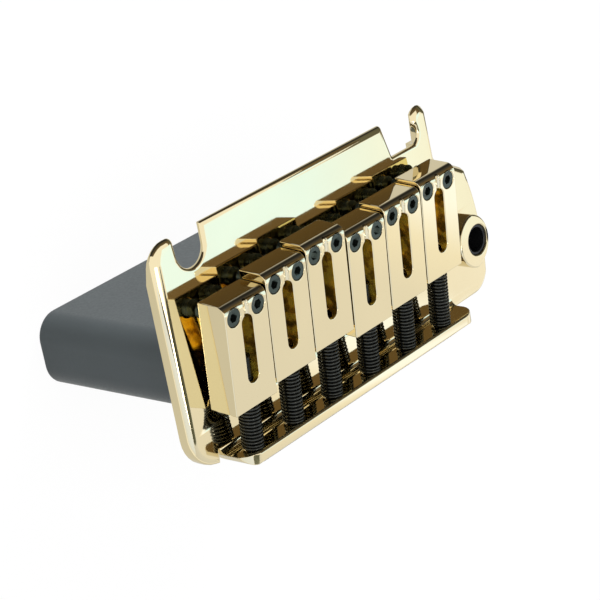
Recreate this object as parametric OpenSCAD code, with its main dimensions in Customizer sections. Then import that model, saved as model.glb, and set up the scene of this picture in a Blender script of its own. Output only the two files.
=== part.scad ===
// Two-post guitar bridge for six strings: a polished plate that rocks on two posts, a heavy block
// below it for strings and springs, and six saddles set for length and height by their screws.
// Origin: midway between the bottoms of the two post notches, on the plate's top face.
// X runs towards the treble side, Y towards the neck and Z up, away from the guitar's body.

/* [Strings] */
// Distance between neighbouring strings
string_pitch = 10.5; // [10.3:0.05:10.8]

/* [Plate] */
// Distance from each post's centre to the plate's side
post_inset = 8.7; // [8.2:0.1:9.5]
// Thickness of the plate
plate_t = 2.5; // [2:0.1:3.5]
// Distance from the post line forward to the plate's front edge
plate_front = 6.5; // [5.8:0.1:8]
// Distance from the post line back to the plate's rear edge
plate_rear = 33.9; // [33.2:0.1:34]
// Radius of the plate's rear bass corner
rear_corner_r = 6.5; // [5:0.25:8]
// Width of the treble horn
treble_horn_w = 4.4; // [4.2:0.1:5]
// Thickness left at the front edge, where the plate tapers from below
front_land = 0.85; // [0.3:0.05:1]

/* [Post notches] */
// Distance between the centres of the two posts
post_spacing = 56; // [55:0.1:57]
// Radius of the round bass notch
bass_notch_r = 3.15; // [2.8:0.05:3.4]
// Width of the straight treble notch
treble_notch_w = 7.3; // [6.4:0.1:7.8]
// Radius of the round relief at the treble notch's outer corner
notch_relief_r = 1.9; // [1.2:0.1:2.4]
// How far that relief reaches past the notch's outer wall
notch_relief = 0.9; // [0.3:0.1:1.2]
// Height of the slope under each notch that leaves a narrow edge on top
knife_slope = 1.7; // [1:0.1:2.1]

/* [Treble wing] */
// Reach of the wing's rear end from the centre line
wing_reach = 46.3; // [45.5:0.1:48]
// How much less the wing's front end reaches
wing_lean = 1.7; // [1:0.1:2.6]
// How far the wing's outer edge bows out between its ends
wing_bow = 0.6; // [0.1:0.1:0.8]
// Distance from the post line back to the wing's rear edge
wing_rear = 33.2; // [32:0.1:33.6]
// Distance from the post line back to the wing's front shoulder
wing_front = 8.3; // [7.5:0.1:9]
// Angle at which the wing's front edge falls back from the horn
wing_slope = 28; // [15:1:32]
// Radius of the wing's front shoulder
wing_shoulder_r = 2; // [1:0.25:2.5]
// Radius of the wing's rear corner
wing_corner_r = 4.25; // [3:0.25:6]

/* [Rear lip] */
// Length of the lip along its foot
lip_len = 65; // [64.5:0.5:68]
// Radius of the lip's upper corners
lip_corner_r = 3.6; // [2:0.1:4]
// How much farther the lip's middle lies towards the treble side
lip_shift = 1.9; // [0:0.1:2]
// Radius of the lip's bass end, seen from above
lip_end_r = 3.2; // [2:0.1:3.6]
// Height of the lip above the plate
lip_h = 5.8; // [5.4:0.1:7]
// Thickness of the lip
lip_t = 2.1; // [1.6:0.1:2.4]
// How far the lip stands out behind the plate's rear edge
lip_proud = 0.6; // [0.5:0.1:1.4]
// Radius of the hollow corner in front of the lip
lip_fillet = 1.2; // [0.5:0.1:1.4]
// Height of the screw holes above the plate
lip_hole_z = 3.2; // [3:0.05:3.5]
// Diameter of the screw holes, wide enough for the screws to tilt
lip_hole_d = 3.2; // [3.1:0.05:3.4]
// Diameter of the cone sunk into the lip's back for a screw's head
lip_cone_d = 4.4; // [4.3:0.1:4.8]
// Outer radius of the bend below the lip
bend_out_r = 3.9; // [2.6:0.1:4]

/* [Saddles] */
// Width of a saddle
saddle_w = 10.2; // [9.6:0.05:10.2]
// Height of a saddle
saddle_h = 5.6; // [5:0.1:5.8]
// Distance from the height screws forward to a saddle's front face
saddle_front = 2.4; // [2.2:0.1:3]
// Distance from the height screws back to a saddle's rear face
saddle_rear = 17; // [16.6:0.1:17.4]
// Radius of the crown that the string breaks over
crown_r = 1.5; // [1:0.1:2.2]
// Height of the saddles' tops above the plate, at their height screws
saddle_top = 7.9; // [7.6:0.1:8.4]
// Depth of the length screw's axis below a saddle's top
screw_drop = 2.05; // [2:0.05:2.6]
// Distance of saddle 1's height screws behind the post line
saddle_1_back = 7.4; // [5:0.1:8.5]
// Distance of saddle 2's height screws behind the post line
saddle_2_back = 5.9; // [5:0.1:8.5]
// Distance of saddle 3's height screws behind the post line
saddle_3_back = 5.0; // [5:0.1:8.5]
// Distance of saddle 4's height screws behind the post line
saddle_4_back = 6.8; // [5:0.1:8.5]
// Distance of saddle 5's height screws behind the post line
saddle_5_back = 6.0; // [5:0.1:8.5]
// Distance of saddle 6's height screws behind the post line
saddle_6_back = 5.3; // [5:0.1:8.5]

/* [String slot] */
// Width of the slot that the string comes up through
slot_w = 2.6; // [2:0.1:2.8]
// Distance from the height screws back to the slot's front end
slot_start = 0.7; // [0.6:0.05:1]
// Length of the slot
slot_len = 12; // [10:0.25:12.5]
// Radius of the string's groove over the crown
groove_r = 0.5; // [0.3:0.05:0.7]
// Depth of that groove
groove_depth = 0.4; // [0.2:0.05:0.5]

/* [Height screws] */
// Diameter of the height screws
height_screw_d = 3; // [2.5:0.1:3]
// Distance between a saddle's two height screws
height_screw_gap = 5.9; // [5.8:0.1:6.2]
// How far a height screw's top lies below the saddle's top
height_screw_sink = 0.15; // [0.05:0.05:0.6]
// Distance across the flats of the hexagon socket
hex_socket = 1.5; // [1.3:0.1:1.6]

/* [Length screws] */
// Diameter of the length screws
length_screw_d = 2.5; // [2:0.1:2.5]
// Length of the longer screws, in saddles 1 and 4
long_screw_l = 18.8; // [17:0.1:20]
// Length of the shorter screws, in the other saddles
short_screw_l = 15.4; // [14.5:0.1:16]
// Diameter of their flat heads
length_head_d = 3.4; // [3.2:0.1:3.5]
// How far a head's rim lies inside the lip's back
length_head_sink = 0.2; // [0.1:0.05:0.3]

/* [Length springs] */
// Diameter of the spring wire
wire_d = 0.45; // [0.4:0.01:0.46]
// Number of turns
spring_turns = 7; // [5:1:7]

/* [Inertia block] */
// Length of the block along the strings' row
block_len = 64; // [62:0.5:65]
// Thickness of the block
block_t = 13.4; // [12.8:0.1:14]
// Height of the block below the plate
block_h = 35.4; // [28:0.2:42]
// Radius of the block's upright corners
block_corner_r = 4.5; // [2:0.25:5]
// Distance from the post line back to the block's front face
block_front = 12.15; // [11.8:0.05:12.6]
// Distance from the post line back to the row of string holes
string_hole_back = 14.9; // [14.8:0.05:15.2]
// Diameter of the string holes
string_hole_d = 2; // [1.6:0.1:2.2]
// Diameter of the wide bores below that hold the strings' ball ends
ball_bore_d = 4.2; // [4:0.1:4.4]
// Depth of those bores
ball_bore_l = 27; // [20:0.5:27]
// Diameter of the holes for the tremolo springs
spring_hole_d = 2.6; // [2.2:0.1:3]
// Depth of the holes for the tremolo springs
spring_hole_l = 8; // [6:0.5:10]

/* [Block screws] */
// Diameter of the screws that hold the block
block_screw_d = 4; // [3.5:0.1:4]
// Length of those screws with their heads
block_screw_l = 12; // [10:0.5:14]
// Diameter of their flat heads
block_head_d = 7.6; // [7:0.1:7.8]

/* [Arm socket] */
// Distance from the wing's outer edge in to the socket's axis
socket_inset = 6.4; // [5.6:0.1:6.8]
// Distance of the socket's axis behind the post line
socket_back = 21.2; // [20.5:0.1:22]
// Diameter of the socket's collar
socket_d = 10.5; // [9.6:0.1:10.8]
// Height of the collar above the plate
socket_h = 4; // [3.5:0.1:5]
// Distance from the axis to the collar's cut back outer side
socket_side = 3.4; // [3.3:0.05:4]
// Radius of that outer side
socket_side_r = 5.3; // [4.5:0.1:6]
// Diameter of the threaded stem below the collar
stem_d = 8; // [7.5:0.1:8.2]
// Length of the stem below the plate
stem_l = 7; // [6:0.25:9]
// Diameter of the black bush
bush_d = 5.7; // [5.4:0.1:5.8]
// Diameter of the bore for the arm
arm_bore_d = 4.6; // [4.2:0.1:4.8]
// How far the bush lies below the collar's top
bush_sink = 0.4; // [0.2:0.1:0.8]
// Distance across the flats of the nut
nut_flats = 11; // [10.5:0.1:11.4]
// Height of the nut
nut_h = 3; // [2.5:0.1:4]

/* [Hidden] */
$fn = 48;
strings = 6;
// Radial clearance of a screw that turns in its thread
thread_gap = 0.05;
// Gap at rest between a height screw's foot and the plate
foot_gap = 0.1;
// Gap at each end of a spring
spring_gap = 0.05;
// Overshoot of a cutting shape past the face that it cuts
cut = 0.5;
// Depth by which a cutting shape starts outside the face that it meets
skin = 0.01;
// Clearance all round a flat head in its sunk hole
head_gap = 0.1;
// Clearance between the arm socket's nut and the block
nut_gap = 0.4;
// Clearance between the arm socket's collar and the last saddle
collar_gap = 0.5;
plate_w = post_spacing + 2 * post_inset;
socket_x = wing_reach - socket_inset;
saddle_back = [saddle_1_back, saddle_2_back, saddle_3_back, saddle_4_back, saddle_5_back, saddle_6_back];
length_screw_l = [long_screw_l, short_screw_l, short_screw_l, long_screw_l, short_screw_l, short_screw_l];
block_screw_xs = [-2 * string_pitch, 0, 2 * string_pitch];
block_rear = block_front + block_t;
block_screw_back = block_front + 0.68 * block_t;
spring_hole_back = block_front + 0.76 * block_t;
spring_hole_xs = [for (i = [-2:2]) i * string_pitch];
lip_back = plate_rear + lip_proud;
pivot_back = lip_back - lip_t / 2;
wire_r = wire_d / 2;
bend_r = 0.4;
rings_per_turn = 8;
wire_sides = 6;
// The wire's straight stretches between two rings still clear the screw.
spring_r = (length_screw_d / 2 + 2 * thread_gap + wire_r) / cos(180 / rings_per_turn);

gold = "#e8c36a";
blackened = "#20242a";
block_grey = "#565b60";

// Places of the strings and of what each saddle stands on

function string_x(i) = (i - (strings + 1) / 2) * string_pitch;
function reach(i) = pivot_back - saddle_back[i - 1];
function drop() = saddle_top - lip_hole_z;

// A saddle leans back until its length screw meets the middle of its hole in the lip.
function tilt(i) = atan2(drop(), reach(i)) - asin(screw_drop / norm([reach(i), drop()]));

// Distance along the length screw from the height screws to the middle of the lip
function axis_len(i) = sqrt(pow(reach(i), 2) + pow(drop(), 2) - pow(screw_drop, 2));

// Length of a height screw, from its sunk top to its foot just above the plate
function height_screw_l(i) =
    (saddle_top - foot_gap - height_screw_d / 2 * sin(tilt(i))) / cos(tilt(i)) - height_screw_sink;

// Saddle i's own frame: X along the row, Y forward along the saddle, Z out of its top
module at_saddle(i) {
    translate([string_x(i), -saddle_back[i - 1], saddle_top])
        rotate([tilt(i), 0, 0])
            children();
}

function arc(c, r, from, to, n = 8) =
    [for (k = [0:n]) let (a = from + (to - from) * k / n) c + r * [cos(a), sin(a)]];

// Plate and lip

function plate_points() =
    let (
        half = plate_w / 2,
        bass_x = -post_spacing / 2,
        treble_x = post_spacing / 2,
        notch_half = treble_notch_w / 2,
        horn_tip = treble_horn_w / 2,
        horn_out = treble_x + notch_half + treble_horn_w,
        shoulder = wing_reach - wing_lean,
        lip_end = lip_len / 2 + lip_shift,
        outer_r = 3.5,
        inner_r = 1.2,
        small_r = 0.8,
        relief_x = treble_x + notch_half + notch_relief - notch_relief_r,
        relief_end = acos((notch_relief_r - notch_relief) / notch_relief_r),
        horn_foot_r = 2.5,
        mouth_slant = 1.9,
        foot_slant = 0.2,
        steep = 90 - wing_slope,
        rise = wing_rear - wing_corner_r - wing_front - wing_shoulder_r,
        shoulder_c = [shoulder - wing_shoulder_r, -wing_front - wing_shoulder_r],
        slope_end = shoulder_c + wing_shoulder_r * [cos(steep), sin(steep)],
        foot_x = horn_out + horn_foot_r * (1 - cos(steep)),
        foot_y = slope_end[1] + (slope_end[0] - foot_x) / tan(steep) + horn_foot_r * sin(steep)
    )
    concat(
        arc([-half + rear_corner_r, -plate_rear + rear_corner_r], rear_corner_r, 180, 270),
        [[lip_end, -plate_rear], [lip_end, -wing_rear]],
        arc([wing_reach - wing_corner_r, -wing_rear + wing_corner_r], wing_corner_r, 270, 355),
        [for (t = [0.1:0.1:0.9])
            [wing_reach - wing_lean * t + 4 * wing_bow * t * (1 - t),
            -wing_rear + wing_corner_r + rise * t]],
        arc(shoulder_c, wing_shoulder_r, 5, steep, 5),
        arc([horn_out + horn_foot_r, foot_y], horn_foot_r, 180 + steep, 180, 5),
        arc([horn_out - horn_tip, plate_front - horn_tip], horn_tip, 0, 180),
        arc([relief_x, notch_relief_r], notch_relief_r, relief_end, -90, 10),
        arc([treble_x - notch_half + small_r + foot_slant, small_r], small_r, 270, 188, 4),
        arc([treble_x - notch_half - mouth_slant, plate_front - small_r], small_r, 8, 90, 4),
        [
            [bass_x + bass_notch_r, plate_front],
            [bass_x + bass_notch_r - cut, plate_front - inner_r - cut],
            [bass_x - bass_notch_r + cut, plate_front - inner_r - cut]
        ],
        arc([bass_x - bass_notch_r - inner_r, plate_front - inner_r], inner_r, 0, 90, 4),
        arc([-half + outer_r, plate_front - outer_r], outer_r, 90, 180, 6)
    );

// The lip's outline seen from behind
module lip_face() {
    half = lip_len / 2;
    r = lip_corner_r;
    translate([lip_shift, 0])
        polygon(concat(
            [[-half, -plate_t], [half, -plate_t], [half, 0]],
            arc([half - r, lip_h - r], r, 10, 90, 6),
            arc([-half + r, lip_h - r], r, 90, 180, 6)
        ));
}

// The lip's section: bent up out of the plate, hollow in front and round behind
module lip_section() {
    front = -lip_back + lip_t;
    edge = 0.3;
    polygon(concat(
        [[-lip_back + bend_out_r + cut, -plate_t], [-lip_back + bend_out_r + cut, 0]],
        arc([front + lip_fillet, lip_fillet], lip_fillet, 270, 180, 6),
        [[front, lip_h - edge], [front - edge, lip_h], [-lip_back + edge, lip_h], [-lip_back, lip_h - edge]],
        arc([-lip_back + bend_out_r, -plate_t + bend_out_r], bend_out_r, 180, 270, 8)
    ));
}

// The lip's outline seen from above, with its bass end rounded off behind
module lip_plan() {
    half = lip_len / 2;
    translate([lip_shift, 0])
        polygon(concat(
            [[half, -lip_back - cut], [half, 0], [-half, 0]],
            arc([-half + lip_end_r, -lip_back + lip_end_r], lip_end_r, 180, 270, 8),
            [[-half + lip_end_r, -lip_back - cut]]
        ));
}

module lip() {
    intersection() {
        rotate([90, 0, 90])
            linear_extrude(2 * lip_len, center = true)
                lip_section();
        rotate([90, 0, 0])
            linear_extrude(4 * plate_rear, center = true)
                lip_face();
        translate([0, 0, -plate_t])
            linear_extrude(plate_t + lip_h)
                lip_plan();
    }
}

// Room for the bend below the lip
module bend_room() {
    translate([-lip_len / 2 + lip_shift, -lip_back - cut, -plate_t - cut])
        cube([lip_len, bend_out_r + cut, plate_t + 2 * cut]);
}

module bass_notch() {
    r = bass_notch_r;
    translate([-post_spacing / 2, r, -plate_t - cut]) {
        cylinder(h = plate_t + 2 * cut, r = r);
        translate([-r, 0, 0])
            cube([2 * r, plate_front, plate_t + 2 * cut]);
    }
}

// What is cut from below the two notches and the front edge
module knife_edges() {
    bass_x = -post_spacing / 2;
    wall_x = (post_spacing + treble_notch_w) / 2;
    k = knife_slope;
    translate([bass_x, bass_notch_r, -plate_t])
        cylinder(h = k, r1 = bass_notch_r + k, r2 = bass_notch_r);
    translate([bass_x, bass_notch_r, -plate_t])
        rotate([90, 0, 180])
            linear_extrude(plate_front)
                polygon([
                    [-bass_notch_r - k, 0],
                    [bass_notch_r + k, 0],
                    [bass_notch_r, k],
                    [-bass_notch_r, k]
                ]);
    translate([post_spacing / 2, 0, -plate_t])
        rotate([90, 0, 90])
            linear_extrude(treble_notch_w, center = true)
                polygon([[cut, 0], [-k, 0], [0, k], [cut, k]]);
    translate([wall_x, 0, -plate_t])
        rotate([90, 0, 180])
            linear_extrude(plate_front + cut)
                polygon([[cut, 0], [cut, k], [0, k], [-k, 0]]);
    translate([0, 0, -plate_t])
        rotate([90, 0, 90])
            linear_extrude(2 * plate_w, center = true)
                polygon([
                    [0, -cut],
                    [plate_front + cut, -cut],
                    [plate_front + cut, plate_t - front_land],
                    [plate_front, plate_t - front_land],
                    [0, 0]
                ]);
}

module flat_head_hole(x, y, d, head_d) {
    head_h = (head_d - d) / 2;
    translate([x, y, -plate_t - cut])
        cylinder(h = plate_t + 2 * cut, d = d);
    translate([x, y, -head_h])
        cylinder(h = head_h + skin, d1 = d, d2 = head_d + 2 * skin);
}

module baseplate() {
    color(gold)
        difference() {
            union() {
                difference() {
                    translate([0, 0, -plate_t])
                        linear_extrude(plate_t)
                            polygon(plate_points());
                    bend_room();
                }
                lip();
            }
            bass_notch();
            knife_edges();
            for (i = [1:strings]) {
                translate([string_x(i), -string_hole_back, -plate_t - cut])
                    cylinder(h = plate_t + 2 * cut, d = string_hole_d);
                translate([string_x(i), -lip_back, lip_hole_z])
                    rotate([-90, 0, 0]) {
                        translate([0, 0, -cut])
                            cylinder(h = lip_t + 2 * cut, d = lip_hole_d);
                        translate([0, 0, -skin])
                            cylinder(h = (lip_cone_d - lip_hole_d) / 2, d1 = lip_cone_d, d2 = lip_hole_d);
                    }
            }
            for (x = block_screw_xs)
                flat_head_hole(x, -block_screw_back, block_screw_d + 2 * head_gap, block_head_d + 3 * head_gap);
            translate([socket_x, -socket_back, -plate_t - cut])
                cylinder(h = plate_t + 2 * cut, d = stem_d);
        }
}

// Block and its screws

module rounded_block(len, t, h, r) {
    translate([-len / 2 + r, 0, 0])
        cube([len - 2 * r, t, h]);
    translate([-len / 2, r, 0])
        cube([len, t - 2 * r, h]);
    for (x = [-len / 2 + r, len / 2 - r], y = [r, t - r])
        translate([x, y, 0])
            cylinder(h = h, r = r);
}

// Room beside the block for the arm socket's stem and nut
module nut_room() {
    at_socket()
        translate([0, 0, -plate_t - stem_l - nut_gap])
            cylinder(h = stem_l + nut_gap + cut, r = nut_flats / 2 / cos(30) + nut_gap);
}

module inertia_block() {
    bottom = -plate_t - block_h;
    color(block_grey)
        difference() {
            translate([0, -block_rear, bottom])
                rounded_block(block_len, block_t, block_h, block_corner_r);
            for (i = [1:strings])
                translate([string_x(i), -string_hole_back, 0]) {
                    translate([0, 0, bottom - cut])
                        cylinder(h = block_h + 2 * cut, d = string_hole_d);
                    translate([0, 0, bottom - cut])
                        cylinder(h = ball_bore_l + cut, d = ball_bore_d);
                }
            for (x = block_screw_xs)
                translate([x, -block_screw_back, -block_screw_l - 2 * cut])
                    cylinder(h = block_screw_l + 2 * cut, d = block_screw_d);
            for (x = spring_hole_xs)
                translate([x, -spring_hole_back, bottom - cut])
                    cylinder(h = spring_hole_l + cut, d = spring_hole_d);
            nut_room();
        }
}

module cross_recess(w, depth) {
    for (a = [0, 90])
        rotate([0, 0, a])
            translate([-w / 2, -w / 8, -depth])
                cube([w, w / 4, depth + cut]);
}

module block_screws() {
    head_h = (block_head_d - block_screw_d) / 2;
    recess_w = 3.4;
    recess_h = 1.2;
    color(gold)
        for (x = block_screw_xs)
            translate([x, -block_screw_back, -head_gap])
                difference() {
                    union() {
                        translate([0, 0, head_gap - block_screw_l])
                            cylinder(h = block_screw_l - head_gap, d = block_screw_d);
                        translate([0, 0, -head_h])
                            cylinder(h = head_h, d1 = block_screw_d, d2 = block_head_d);
                    }
                    cross_recess(recess_w, recess_h);
                }
}

// Arm socket beside the saddles

module at_socket() {
    translate([socket_x, -socket_back, 0])
        children();
}

module arm_socket() {
    color(gold)
        at_socket()
            difference() {
                union() {
                    intersection() {
                        cylinder(h = socket_h, d = socket_d);
                        translate([string_x(strings) + saddle_w / 2 + collar_gap - socket_x, -socket_d, 0])
                            cube([2 * socket_d, 2 * socket_d, socket_h]);
                        translate([socket_side - socket_side_r, 0, -cut])
                            cylinder(h = socket_h + 2 * cut, r = socket_side_r);
                    }
                    translate([0, 0, -plate_t - stem_l])
                        cylinder(h = plate_t + stem_l, d = stem_d);
                }
                translate([0, 0, -plate_t - stem_l - cut])
                    cylinder(h = plate_t + stem_l + socket_h + 2 * cut, d = bush_d);
            }
}

module arm_bush() {
    color(blackened)
        at_socket()
            difference() {
                translate([0, 0, -plate_t - stem_l])
                    cylinder(h = plate_t + stem_l + socket_h - bush_sink, d = bush_d);
                translate([0, 0, -plate_t - stem_l - cut])
                    cylinder(h = plate_t + stem_l + socket_h + cut, d = arm_bore_d);
            }
}

module arm_socket_nut() {
    color(gold)
        at_socket()
            translate([0, 0, -plate_t - nut_h])
                difference() {
                    rotate([0, 0, 30])
                        cylinder(h = nut_h, d = nut_flats / cos(30), $fn = 6);
                    translate([0, 0, -cut])
                        cylinder(h = nut_h + 2 * cut, d = stem_d);
                }
}

// Saddles

module saddle_profile() {
    polygon(concat(
        [[-saddle_rear, 0], [-saddle_rear, -saddle_h], [saddle_front, -saddle_h]],
        arc([saddle_front - crown_r, -crown_r], crown_r, 0, 90, 10)
    ));
}

module string_slot() {
    r = slot_w / 2;
    for (y = [-slot_start - r, -slot_start - slot_len + r])
        translate([0, y, -saddle_h - cut])
            cylinder(h = saddle_h + 2 * cut, r = r);
    translate([-r, -slot_start - slot_len + r, -saddle_h - cut])
        cube([slot_w, slot_len - slot_w, saddle_h + 2 * cut]);
}

module saddle(i) {
    color(gold)
        at_saddle(i)
            difference() {
                rotate([90, 0, 90])
                    linear_extrude(saddle_w, center = true)
                        saddle_profile();
                for (side = [-1, 1])
                    translate([side * height_screw_gap / 2, 0, -saddle_h - cut])
                        cylinder(h = saddle_h + 2 * cut, d = height_screw_d + 2 * thread_gap);
                string_slot();
                translate([0, -slot_start - slot_w / 2, groove_r - groove_depth])
                    rotate([-90, 0, 0])
                        cylinder(h = saddle_front + slot_start + slot_w, r = groove_r);
                translate([0, -saddle_rear - cut, -screw_drop])
                    rotate([-90, 0, 0])
                        cylinder(
                            h = saddle_rear - slot_start - slot_len + slot_w / 2 + cut,
                            d = length_screw_d + 2 * thread_gap
                        );
            }
}

// Screws and springs

module height_screw(i, side) {
    r = height_screw_d / 2;
    l = height_screw_l(i);
    point_h = 0.6;
    socket_depth = 1.6;
    color(blackened)
        at_saddle(i)
            translate([side * height_screw_gap / 2, 0, -height_screw_sink])
                difference() {
                    union() {
                        translate([0, 0, -l + point_h])
                            cylinder(h = l - point_h, r = r);
                        translate([0, 0, -l])
                            cylinder(h = point_h, r1 = r - point_h, r2 = r);
                    }
                    translate([0, 0, -socket_depth])
                        cylinder(h = socket_depth + cut, d = hex_socket / cos(30), $fn = 6);
                }
}

module intonation_screw(i) {
    head_h = (length_head_d - length_screw_d) / 2;
    recess_w = 2.2;
    recess_h = 0.8;
    color(blackened)
        at_saddle(i)
            translate([0, -axis_len(i) - lip_t / 2 + length_head_sink, -screw_drop])
                rotate([-90, 0, 0])
                    difference() {
                        union() {
                            cylinder(h = length_screw_l[i - 1], d = length_screw_d);
                            cylinder(h = head_h, d1 = length_head_d, d2 = length_screw_d);
                        }
                        mirror([0, 0, 1])
                            cross_recess(recess_w, recess_h);
                    }
}

// A spring is one tube. Its path is worked out on the unrolled cylinder, as distance round it and
// distance along it: straight, a quarter bend, the turns, a quarter bend and straight again.

function spring_len(i) = axis_len(i) - lip_t / 2 / cos(tilt(i)) - saddle_rear - 2 * spring_gap;
function turns_round() = spring_turns * 2 * PI * spring_r;
function turns_along(i) = spring_len(i) - 2 * wire_d - 2 * bend_r;

function unrolled(i) =
    let (
        n = spring_turns * rings_per_turn,
        start = wire_d + bend_r
    )
    concat(
        [[0, 0], [0, wire_d]],
        [for (a = [30, 60]) [bend_r * (1 - cos(a)), wire_d + bend_r * sin(a)]],
        [for (k = [0:n]) [bend_r + turns_round() * k / n, start + turns_along(i) * k / n]],
        [for (a = [30, 60])
            [bend_r + turns_round() + bend_r * sin(a), start + turns_along(i) + bend_r * (1 - cos(a))]],
        [for (s = [0, wire_d]) [2 * bend_r + turns_round(), start + turns_along(i) + bend_r + s]]
    );

function on_cylinder(p) =
    let (a = p[0] / spring_r * 180 / PI)
    [spring_r * cos(a), p[1], spring_r * sin(a)];

function radial(p) = let (a = p[0] / spring_r * 180 / PI) [cos(a), 0, sin(a)];

function unit(v) = v / norm(v);

module tube(flat) {
    path = [for (p = flat) on_cylinder(p)];
    n = len(path);
    rings = [for (k = [0:n - 1])
        let (
            ahead = path[min(k + 1, n - 1)] - path[max(k - 1, 0)],
            along = k == 0 || k == n - 1 ? [0, 1, 0] : unit(ahead),
            out = radial(flat[k]),
            side = cross(along, out)
        )
        for (j = [0:wire_sides - 1])
            let (a = 360 * j / wire_sides)
            path[k] + wire_r * (cos(a) * out + sin(a) * side)
    ];
    s = wire_sides;
    sides = [for (k = [0:n - 2], j = [0:s - 1])
        let (
            a = k * s + j,
            b = k * s + (j + 1) % s
        )
        each [[a, a + s, b], [b, a + s, b + s]]
    ];
    caps = [for (j = [1:s - 2])
        each [[0, j, j + 1], [(n - 1) * s, (n - 1) * s + j + 1, (n - 1) * s + j]]
    ];
    polyhedron(rings, concat(sides, caps), convexity = 10);
}

// Least gap between two stretches of one spring that lie more than half a turn apart
function self_gap(i) =
    let (path = [for (p = unrolled(i)) on_cylinder(p)], n = len(path))
    min([for (a = [0:n - 1], b = [a + rings_per_turn / 2:n - 1])
        if (b < n) norm(path[a] - path[b])]) - wire_d;

for (i = [1:strings])
    echo(str("spring ", i, " least gap to itself in mm: ", self_gap(i)));

module intonation_spring(i) {
    color(blackened)
        at_saddle(i)
            translate([0, -saddle_rear - spring_gap, -screw_drop])
                rotate([0, 0, 180])
                    tube(unrolled(i));
}

baseplate();
inertia_block();
block_screws();
arm_socket();
arm_bush();
arm_socket_nut();
for (i = [1:strings]) {
    saddle(i);
    height_screw(i, -1);
    height_screw(i, 1);
    intonation_screw(i);
    intonation_spring(i);
}
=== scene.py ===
import math

import bmesh
import bpy
from bpy.props import FloatProperty, FloatVectorProperty, IntProperty, PointerProperty
from mathutils import Euler, Matrix, Vector
from mathutils.geometry import tessellate_polygon


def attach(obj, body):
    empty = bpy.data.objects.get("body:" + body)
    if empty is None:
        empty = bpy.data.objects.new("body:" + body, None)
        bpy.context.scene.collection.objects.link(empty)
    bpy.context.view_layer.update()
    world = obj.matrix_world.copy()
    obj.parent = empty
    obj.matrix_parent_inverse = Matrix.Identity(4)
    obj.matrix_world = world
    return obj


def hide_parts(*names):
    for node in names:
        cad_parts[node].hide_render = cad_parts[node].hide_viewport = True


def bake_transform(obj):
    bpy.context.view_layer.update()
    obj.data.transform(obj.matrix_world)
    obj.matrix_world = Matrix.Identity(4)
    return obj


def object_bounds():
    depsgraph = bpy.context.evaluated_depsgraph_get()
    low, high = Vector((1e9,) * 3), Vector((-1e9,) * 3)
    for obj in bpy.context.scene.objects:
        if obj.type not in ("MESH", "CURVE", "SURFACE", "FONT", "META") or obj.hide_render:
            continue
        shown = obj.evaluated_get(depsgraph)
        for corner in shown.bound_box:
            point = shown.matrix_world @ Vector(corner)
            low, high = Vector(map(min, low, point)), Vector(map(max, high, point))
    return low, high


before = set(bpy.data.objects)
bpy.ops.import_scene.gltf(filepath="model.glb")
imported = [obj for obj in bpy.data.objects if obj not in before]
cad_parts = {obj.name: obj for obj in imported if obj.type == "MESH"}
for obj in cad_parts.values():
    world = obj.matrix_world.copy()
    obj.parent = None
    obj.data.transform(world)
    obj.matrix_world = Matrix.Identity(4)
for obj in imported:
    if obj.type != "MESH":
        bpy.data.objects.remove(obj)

bl_info = {
    "name": "Two-Post Guitar Bridge",
    "version": (1, 0, 0),
    "blender": (4, 5, 0),
    "location": "View3D > Sidebar > Bridge",
    "description": "Dresses the packed guitar bridge: plate, saddles, screws, springs and block",
    "category": "Object",
}

CAD_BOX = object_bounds()
MM = 0.001

# The CAD's own sizes in millimetres, in the CAD frame: X to the treble side, Y to the neck,
# Z up from the plate's top
STRINGS = 6
STRING_PITCH = 10.5
# From the post line back to each saddle's height screws, bass to treble
SADDLE_BACK = (7.4, 5.9, 5.0, 6.8, 6.0, 5.3)
SADDLE_TOP = 7.9
SADDLE_REAR = 17.0
# From a saddle's top down to its length screw
SCREW_DROP = 2.05
LIP_BACK = 34.5
LIP_T = 2.1
LIP_HOLE_Z = 3.2
HEIGHT_SCREW_R = 1.5
HEIGHT_SCREW_GAP = 5.9
HEIGHT_SCREW_SINK = 0.15
LENGTH_SCREW_R = 1.25
LENGTH_HEAD_SINK = 0.2
SLOT_W = 2.6
SLOT_START = 0.7
SLOT_LEN = 12.0
SOCKET_X = 39.9
SOCKET_BACK = 21.2
SOCKET_BORE_R = 3.0

# Roundings of the small turned and cut pieces, in millimetres
BLOCK_SCREW_EDGE = 0.08
BUSH_EDGE = 0.15
NUT_EDGE = 0.2

# Where the rounding of the plate's top edge changes, in millimetres
WING_START = 34.5
WING_FRONT = -2.0
WING_SHOULDER = -10.5
NOTCH_FLOOR = -1.0
# Height of the wall above the relief in the notches
NOTCH_LAND = 0.8
FRONT_START = 3.5
HORN_FOOT = 2.2
HORN_TOP = 5.5
HORN_INSIDE = 32.4
HORN_MIDDLE = 33.3
HORN_OUTSIDE = 35.6
HORN_ROOM = 2.0
BASS_SIDE = -36.5

# Tolerances in metres: vertices that are one, in the CAD's meshes and along the rolled edge,
# and heights that are the same
WELD = 2e-7
ROLL_WELD = 1e-6
SAME_HEIGHT = 2e-5

# Name of the mesh attribute that marks the faces a cutter left
CUT_MARK = "cut_by_tool"

# Places of a mix node's colour sockets, whose names its other sockets share
MIX_FIRST = 6
MIX_SECOND = 7
MIX_RESULT = 2


def linear(hex_text):
    """A colour written as sRGB hex, turned into Blender's linear values."""
    parts = [int(hex_text[k:k + 2], 16) / 255 for k in (1, 3, 5)]
    return tuple(c / 12.92 if c <= 0.04045 else ((c + 0.055) / 1.055) ** 2.4 for c in parts)


# Sizes and colours that a user would change


def colour(name, description, default):
    return FloatVectorProperty(
        name=name, description=description, subtype="COLOR", size=3,
        min=0.0, max=1.0, default=linear(default),
    )


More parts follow.
